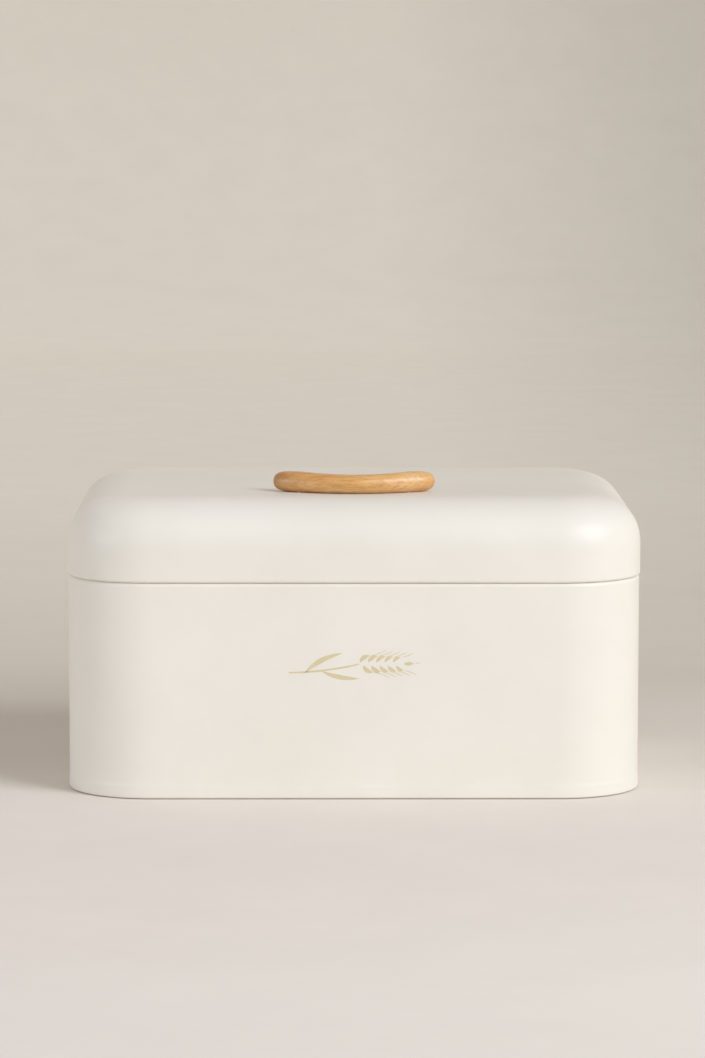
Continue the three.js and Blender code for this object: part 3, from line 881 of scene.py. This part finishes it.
def hinge_pin():
    """The pin's shape, peened over into a low head at each end."""
    inner = HINGE_WIDTH / 2 + FIT_GAP
    outer = inner + PIN_HEAD_HEIGHT
    dome_x = outer - PIN_HEAD_ROUNDING
    dome_radius = PIN_HEAD_RADIUS - PIN_HEAD_ROUNDING
    dome = arc(dome_x, dome_radius, PIN_HEAD_ROUNDING, 90, 0, PIN_DOME_STEPS)
    right = [
        (PIN_RADIUS, inner),
        (PIN_HEAD_RADIUS, inner),
        *[(radius, along) for along, radius in dome],
        (0, outer),
    ]
    left = [(radius, -along) for radius, along in reversed(right)]
    return turned([*left, *right], "X")


def rivet(leaf_outer_y, sheet_inner_y):
    """A rivet's shape through a leaf and the sheet behind it, its domed head outside."""
    out = leaf_outer_y + FIT_GAP
    inside = sheet_inner_y - FIT_GAP
    tail_end = inside - RIVET_TAIL_HEIGHT
    end_radius, foot_radius = [RIVET_HEAD_RADIUS * part for part in RIVET_TAIL_TAPER]
    flat_radius = 0.5  # the rounding of the tail's end stays outside it
    tail = [(flat_radius, tail_end), (end_radius, tail_end), (foot_radius, inside)]
    dome = [
        (RIVET_HEAD_RADIUS * across, out + RIVET_HEAD_HEIGHT * up)
        for across, up in arc(0, 0, 1, 0, 90, RIVET_DOME_STEPS)
    ]
    profile = [
        (0, tail_end),
        *rounded(tail, RIVET_TAIL_ROUNDING),
        (RIVET_RADIUS, inside),
        (RIVET_RADIUS, out),
        *dome,
    ]
    return turned(profile, "Y")


def add_hinge(side_name, side):
    """One hinge: two leaves, their pin and four rivets."""
    x = side * HINGE_SPACING / 2
    pin = mesh_object(f"{side_name}_hinge_pin", hinge_pin())
    upper = lid_leaf(f"{side_name}_hinge_upper")
    lower = body_leaf(f"{side_name}_hinge_lower")
    for leaf in (upper, lower):
        soften_edges(leaf, LEAF_EDGE_ROUNDING)
    pieces = ((pin, "pin", "body"), (lower, "body_leaf", "body"), (upper, "lid_leaf", "lid"))
    for thing, node, body in pieces:
        shift_mesh(thing, x, AXIS_Y, HINGE_HEIGHT)
        finish_piece(thing, STEEL, body, f"hinge_{side_name}_{node}")
    rows = (
        ("lid", 1, rivet(AXIS_Y - KNUCKLE_BORE, HALF_DEPTH + LID_OVERHANG - SHEET)),
        ("body", -1, rivet(HALF_DEPTH + FIT_GAP + LEAF, HALF_DEPTH - SHEET)),
    )
    for body, up, shape in rows:
        for end_name, end in SIDES:
            spot = moved(shape, x + end * RIVET_SPACING / 2, 0, HINGE_HEIGHT + up * RIVET_OFFSET)
            piece = mesh_object(f"{side_name}_{end_name}_{body}_rivet", spot)
            node = f"rivet_{body}_{side_name}_{end_name}"
            finish_piece(piece, STEEL, body, node)


# ---- Print: a lying ear of wheat, in the X-Z plane round its own middle ----
def stroke(start, bend, end, width, taper, steps=18):
    """The outline of one stroke along a bent line; a smaller taper makes it squarer and more even."""
    first, middle, last = Vector(start), Vector(bend), Vector(end)
    upper = []
    lower = []
    for i in range(steps + 1):
        t = i / steps
        spot = first.lerp(middle, t).lerp(middle.lerp(last, t), t)
        along = (middle - first).lerp(last - middle, t).normalized()
        across = Vector((-along.y, along.x)) * width / 2
        share = max(math.sin(math.pi * t), 0.02) ** taper  # never quite closed at the ends
        upper.append(tuple(spot + across * share))
        lower.append(tuple(spot - across * share))
    return [*upper, *reversed(lower)]


def grain(foot_x, side, size):
    """One grain on a side of the ear, and its bristle."""
    foot = Vector((foot_x, side * 0.9))
    shoulder = foot + Vector((1.2, side * 3.4)) * size
    tip = foot + Vector((5.6, side * 3.9)) * size
    bristle_start = tip + Vector((0.7, 0))
    bristle_bend = tip + Vector((5, side * 0.9))
    bristle_end = tip + Vector((9.5, side * 3.2)) * size
    return [
        stroke(foot, shoulder, tip, GRAIN_WIDTH * size, LEAFY),
        stroke(bristle_start, bristle_bend, bristle_end, BRISTLE_WIDTH, EVEN),
    ]


def wheat_sprig():
    """The sprig's outlines: a stalk, two leaves, and the ear's paired grains with their bristles."""
    stalk = stroke((-37.5, -5), (-16, -4.6), (2.5, 0), width=1.0, taper=0.12, steps=30)
    upper_leaf = stroke((-28, -4.9), (-21, 3.2), (-7, 6.2), width=2.9, taper=LEAFY, steps=24)
    lower_leaf = stroke((-18.5, -4.2), (-10, -8.6), (2.5, -8.4), width=2.6, taper=LEAFY, steps=24)
    outlines = [stalk, upper_leaf, lower_leaf]
    for i in range(GRAIN_PAIRS):
        size = 1 - GRAIN_SHRINK * i
        outlines += grain(EAR_START + i * GRAIN_PITCH, 1, size)
        outlines += grain(EAR_START + (i + GRAIN_STAGGER) * GRAIN_PITCH, -1, size)
    top = EAR_START + (GRAIN_PAIRS + 0.3) * GRAIN_PITCH
    top_grain = stroke((top, 0), (top + 2.8, 0.1), (top + 5.6, 0.3), 2.2, LEAFY)
    top_bristle = stroke((top + 6.4, 0.3), (top + 8, 0.5), (top + 9.6, 0.8), BRISTLE_WIDTH, EVEN)
    return [*outlines, top_grain, top_bristle]


def add_print():
    """The sprig printed on the middle of the body's front."""
    back_y = -HALF_DEPTH - PRINT_GAP
    plates = [plate_across_y(o, back_y - PRINT_THICKNESS, back_y) for o in wheat_sprig()]
    sprig = mesh_object("printed_sprig", moved(together(plates), z=SPRIG_HEIGHT))
    finish_piece(sprig, INK, "body")


# ---- Studio ----
def paper_material():
    """Pale paper with painted shade: greyer a little behind the bin and to the right of it, lighter
    in front, plain far to the sides.
    """
    n = Nodes("studio_paper")
    n.place = n.add("ShaderNodeNewGeometry").outputs["Position"]
    split = n.add("ShaderNodeSeparateXYZ", Vector=n.place)
    x, y = split.outputs["X"], split.outputs["Y"]
    # Painted light and shade along the paper's depth: lighter in front of the bin, a shaded band just
    # behind it, greyer again where the paper turns up
    shade = n.ramp(
        n.span(y, -0.8, 4.8, 0.0, 1.0),
        [
            (0.03, (242, 236, 228)),
            (0.09, (237, 230, 221)),
            (0.125, (234, 227, 218)),
            (0.145, (222, 215, 206)),
            (0.18, (222, 215, 205)),
            (0.205, (213, 206, 193)),
            (0.26, (221, 214, 201)),
            (0.33, (227, 220, 206)),
            (0.42, (231, 225, 211)),
            (0.8, (231, 225, 211)),
            (0.87, (223, 216, 202)),
            (1.0, (213, 205, 190)),
        ],
    )
    far_out = n.span(n.maths(x, operation="ABSOLUTE"), 0.9, 1.8, 0.0, 1.0)
    shade = n.mix(far_out, shade, linear((228, 221, 209)))
    # Painted shade: the paper darker to the right of the bin and behind it, fading back out far to
    # the right
    right = n.maths(n.span(x, 0.1, 0.6, 0.0, 0.19), n.span(x, 0.9, 1.8, 0.0, 0.19), "SUBTRACT")
    painted_shade_right = n.maths(right, n.span(y, 0.25, 0.8, 0.0, 1.0), "MULTIPLY")
    mottle = n.span(n.noise(14, detail=4.0, roughness=0.6), 0.3, 0.7, 0.985, 1.015)
    level = n.maths(mottle, painted_shade_right, "SUBTRACT")
    n.set(Base_Color=n.mix(1.0, shade, level, "MULTIPLY"), Roughness=0.9, Specular_IOR_Level=0.1)
    return n.material


def add_studio():
    """A wide sheet of paper that lies flat and turns up far behind the bin."""
    sweep = arc(PAPER_TURN_Y, PAPER_TURN_RADIUS, PAPER_TURN_RADIUS, -90, 0, PAPER_TURN_STEPS)
    wall_y = PAPER_TURN_Y + PAPER_TURN_RADIUS
    line = [(-PAPER_HALF_WIDTH, 0), (0, 0), *sweep, (wall_y, PAPER_HEIGHT)]
    points = [(x, y, z) for x in (-PAPER_HALF_WIDTH, PAPER_HALF_WIDTH) for y, z in line]
    count = len(line)
    faces = [(i, i + 1, count + i + 1, count + i) for i in range(count - 1)]
    paper = mesh_object("studio_paper", (points, faces))
    paper.data.materials.append(paper_material())
    paper.data.shade_smooth()


def add_lamp(name, kind, spot, target, **settings):
    """One lamp at a spot, pointed at a target, both in millimetres."""
    lamp = bpy.data.lights.new(name, kind)
    for key, value in settings.items():
        setattr(lamp, key, value)
    thing = bpy.data.objects.new(name, lamp)
    bpy.context.scene.collection.objects.link(thing)
    thing.location = Vector(spot) * MM
    thing.rotation_euler = (Vector(target) - Vector(spot)).to_track_quat("-Z", "Y").to_euler()


def add_lights():
    """A warm surround, a soft key and a panel from the right front, and a low fill from the left."""
    world = bpy.data.worlds.new("surround")
    bpy.context.scene.world = world
    world.use_nodes = True
    background = world.node_tree.nodes["Background"]
    background.inputs["Color"].default_value = (1.0, 0.91, 0.86, 1.0)
    background.inputs["Strength"].default_value = 0.475
    key = {"energy": 1.8, "color": (0.845, 0.905, 1.0), "angle": math.radians(30)}
    add_lamp("key", "SUN", (670, -540, 515), (0, 0, 0), **key)
    fill = {"energy": 0.9, "color": (0.72, 0.87, 1.0), "angle": math.radians(30)}
    add_lamp("fill", "SUN", (-900, -420, 140), (0, 0, 0), **fill)
    panel = {"energy": 2.4, "color": (0.92, 1.0, 1.0), "size": PANEL_LAMP_SIZE * MM}
    add_lamp("panel", "AREA", (900, -800, 620), (60, -60, 100), **panel)


def add_camera():
    """A long lens that looks slightly down at the bin."""
    camera = bpy.data.cameras.new("camera")
    camera.sensor_width = CAMERA_SENSOR
    camera.lens = CAMERA_LENS
    camera.clip_start, camera.clip_end = [distance * MM for distance in CAMERA_REACH]
    thing = bpy.data.objects.new("camera", camera)
    bpy.context.scene.collection.objects.link(thing)
    thing.location = Vector(CAMERA_SPOT) * MM
    pitch = math.radians(90 - CAMERA_DIP)
    turn = math.radians(CAMERA_TURN)
    roll = Matrix.Rotation(math.radians(CAMERA_ROLL), 4, "Z")
    facing = Euler((pitch, 0, turn), "XYZ").to_matrix().to_4x4()
    thing.rotation_euler = (facing @ roll).to_euler("XYZ")
    bpy.context.scene.camera = thing


add_camera()
add_body_wall()
add_base_panel()
add_feet()
add_lid()
add_pull()
add_pull_screws()
for hinge_name, hinge_side in SIDES:
    add_hinge(hinge_name, hinge_side)
add_print()
add_studio()
add_lights()
bpy.context.scene.view_settings.view_transform = "Standard"
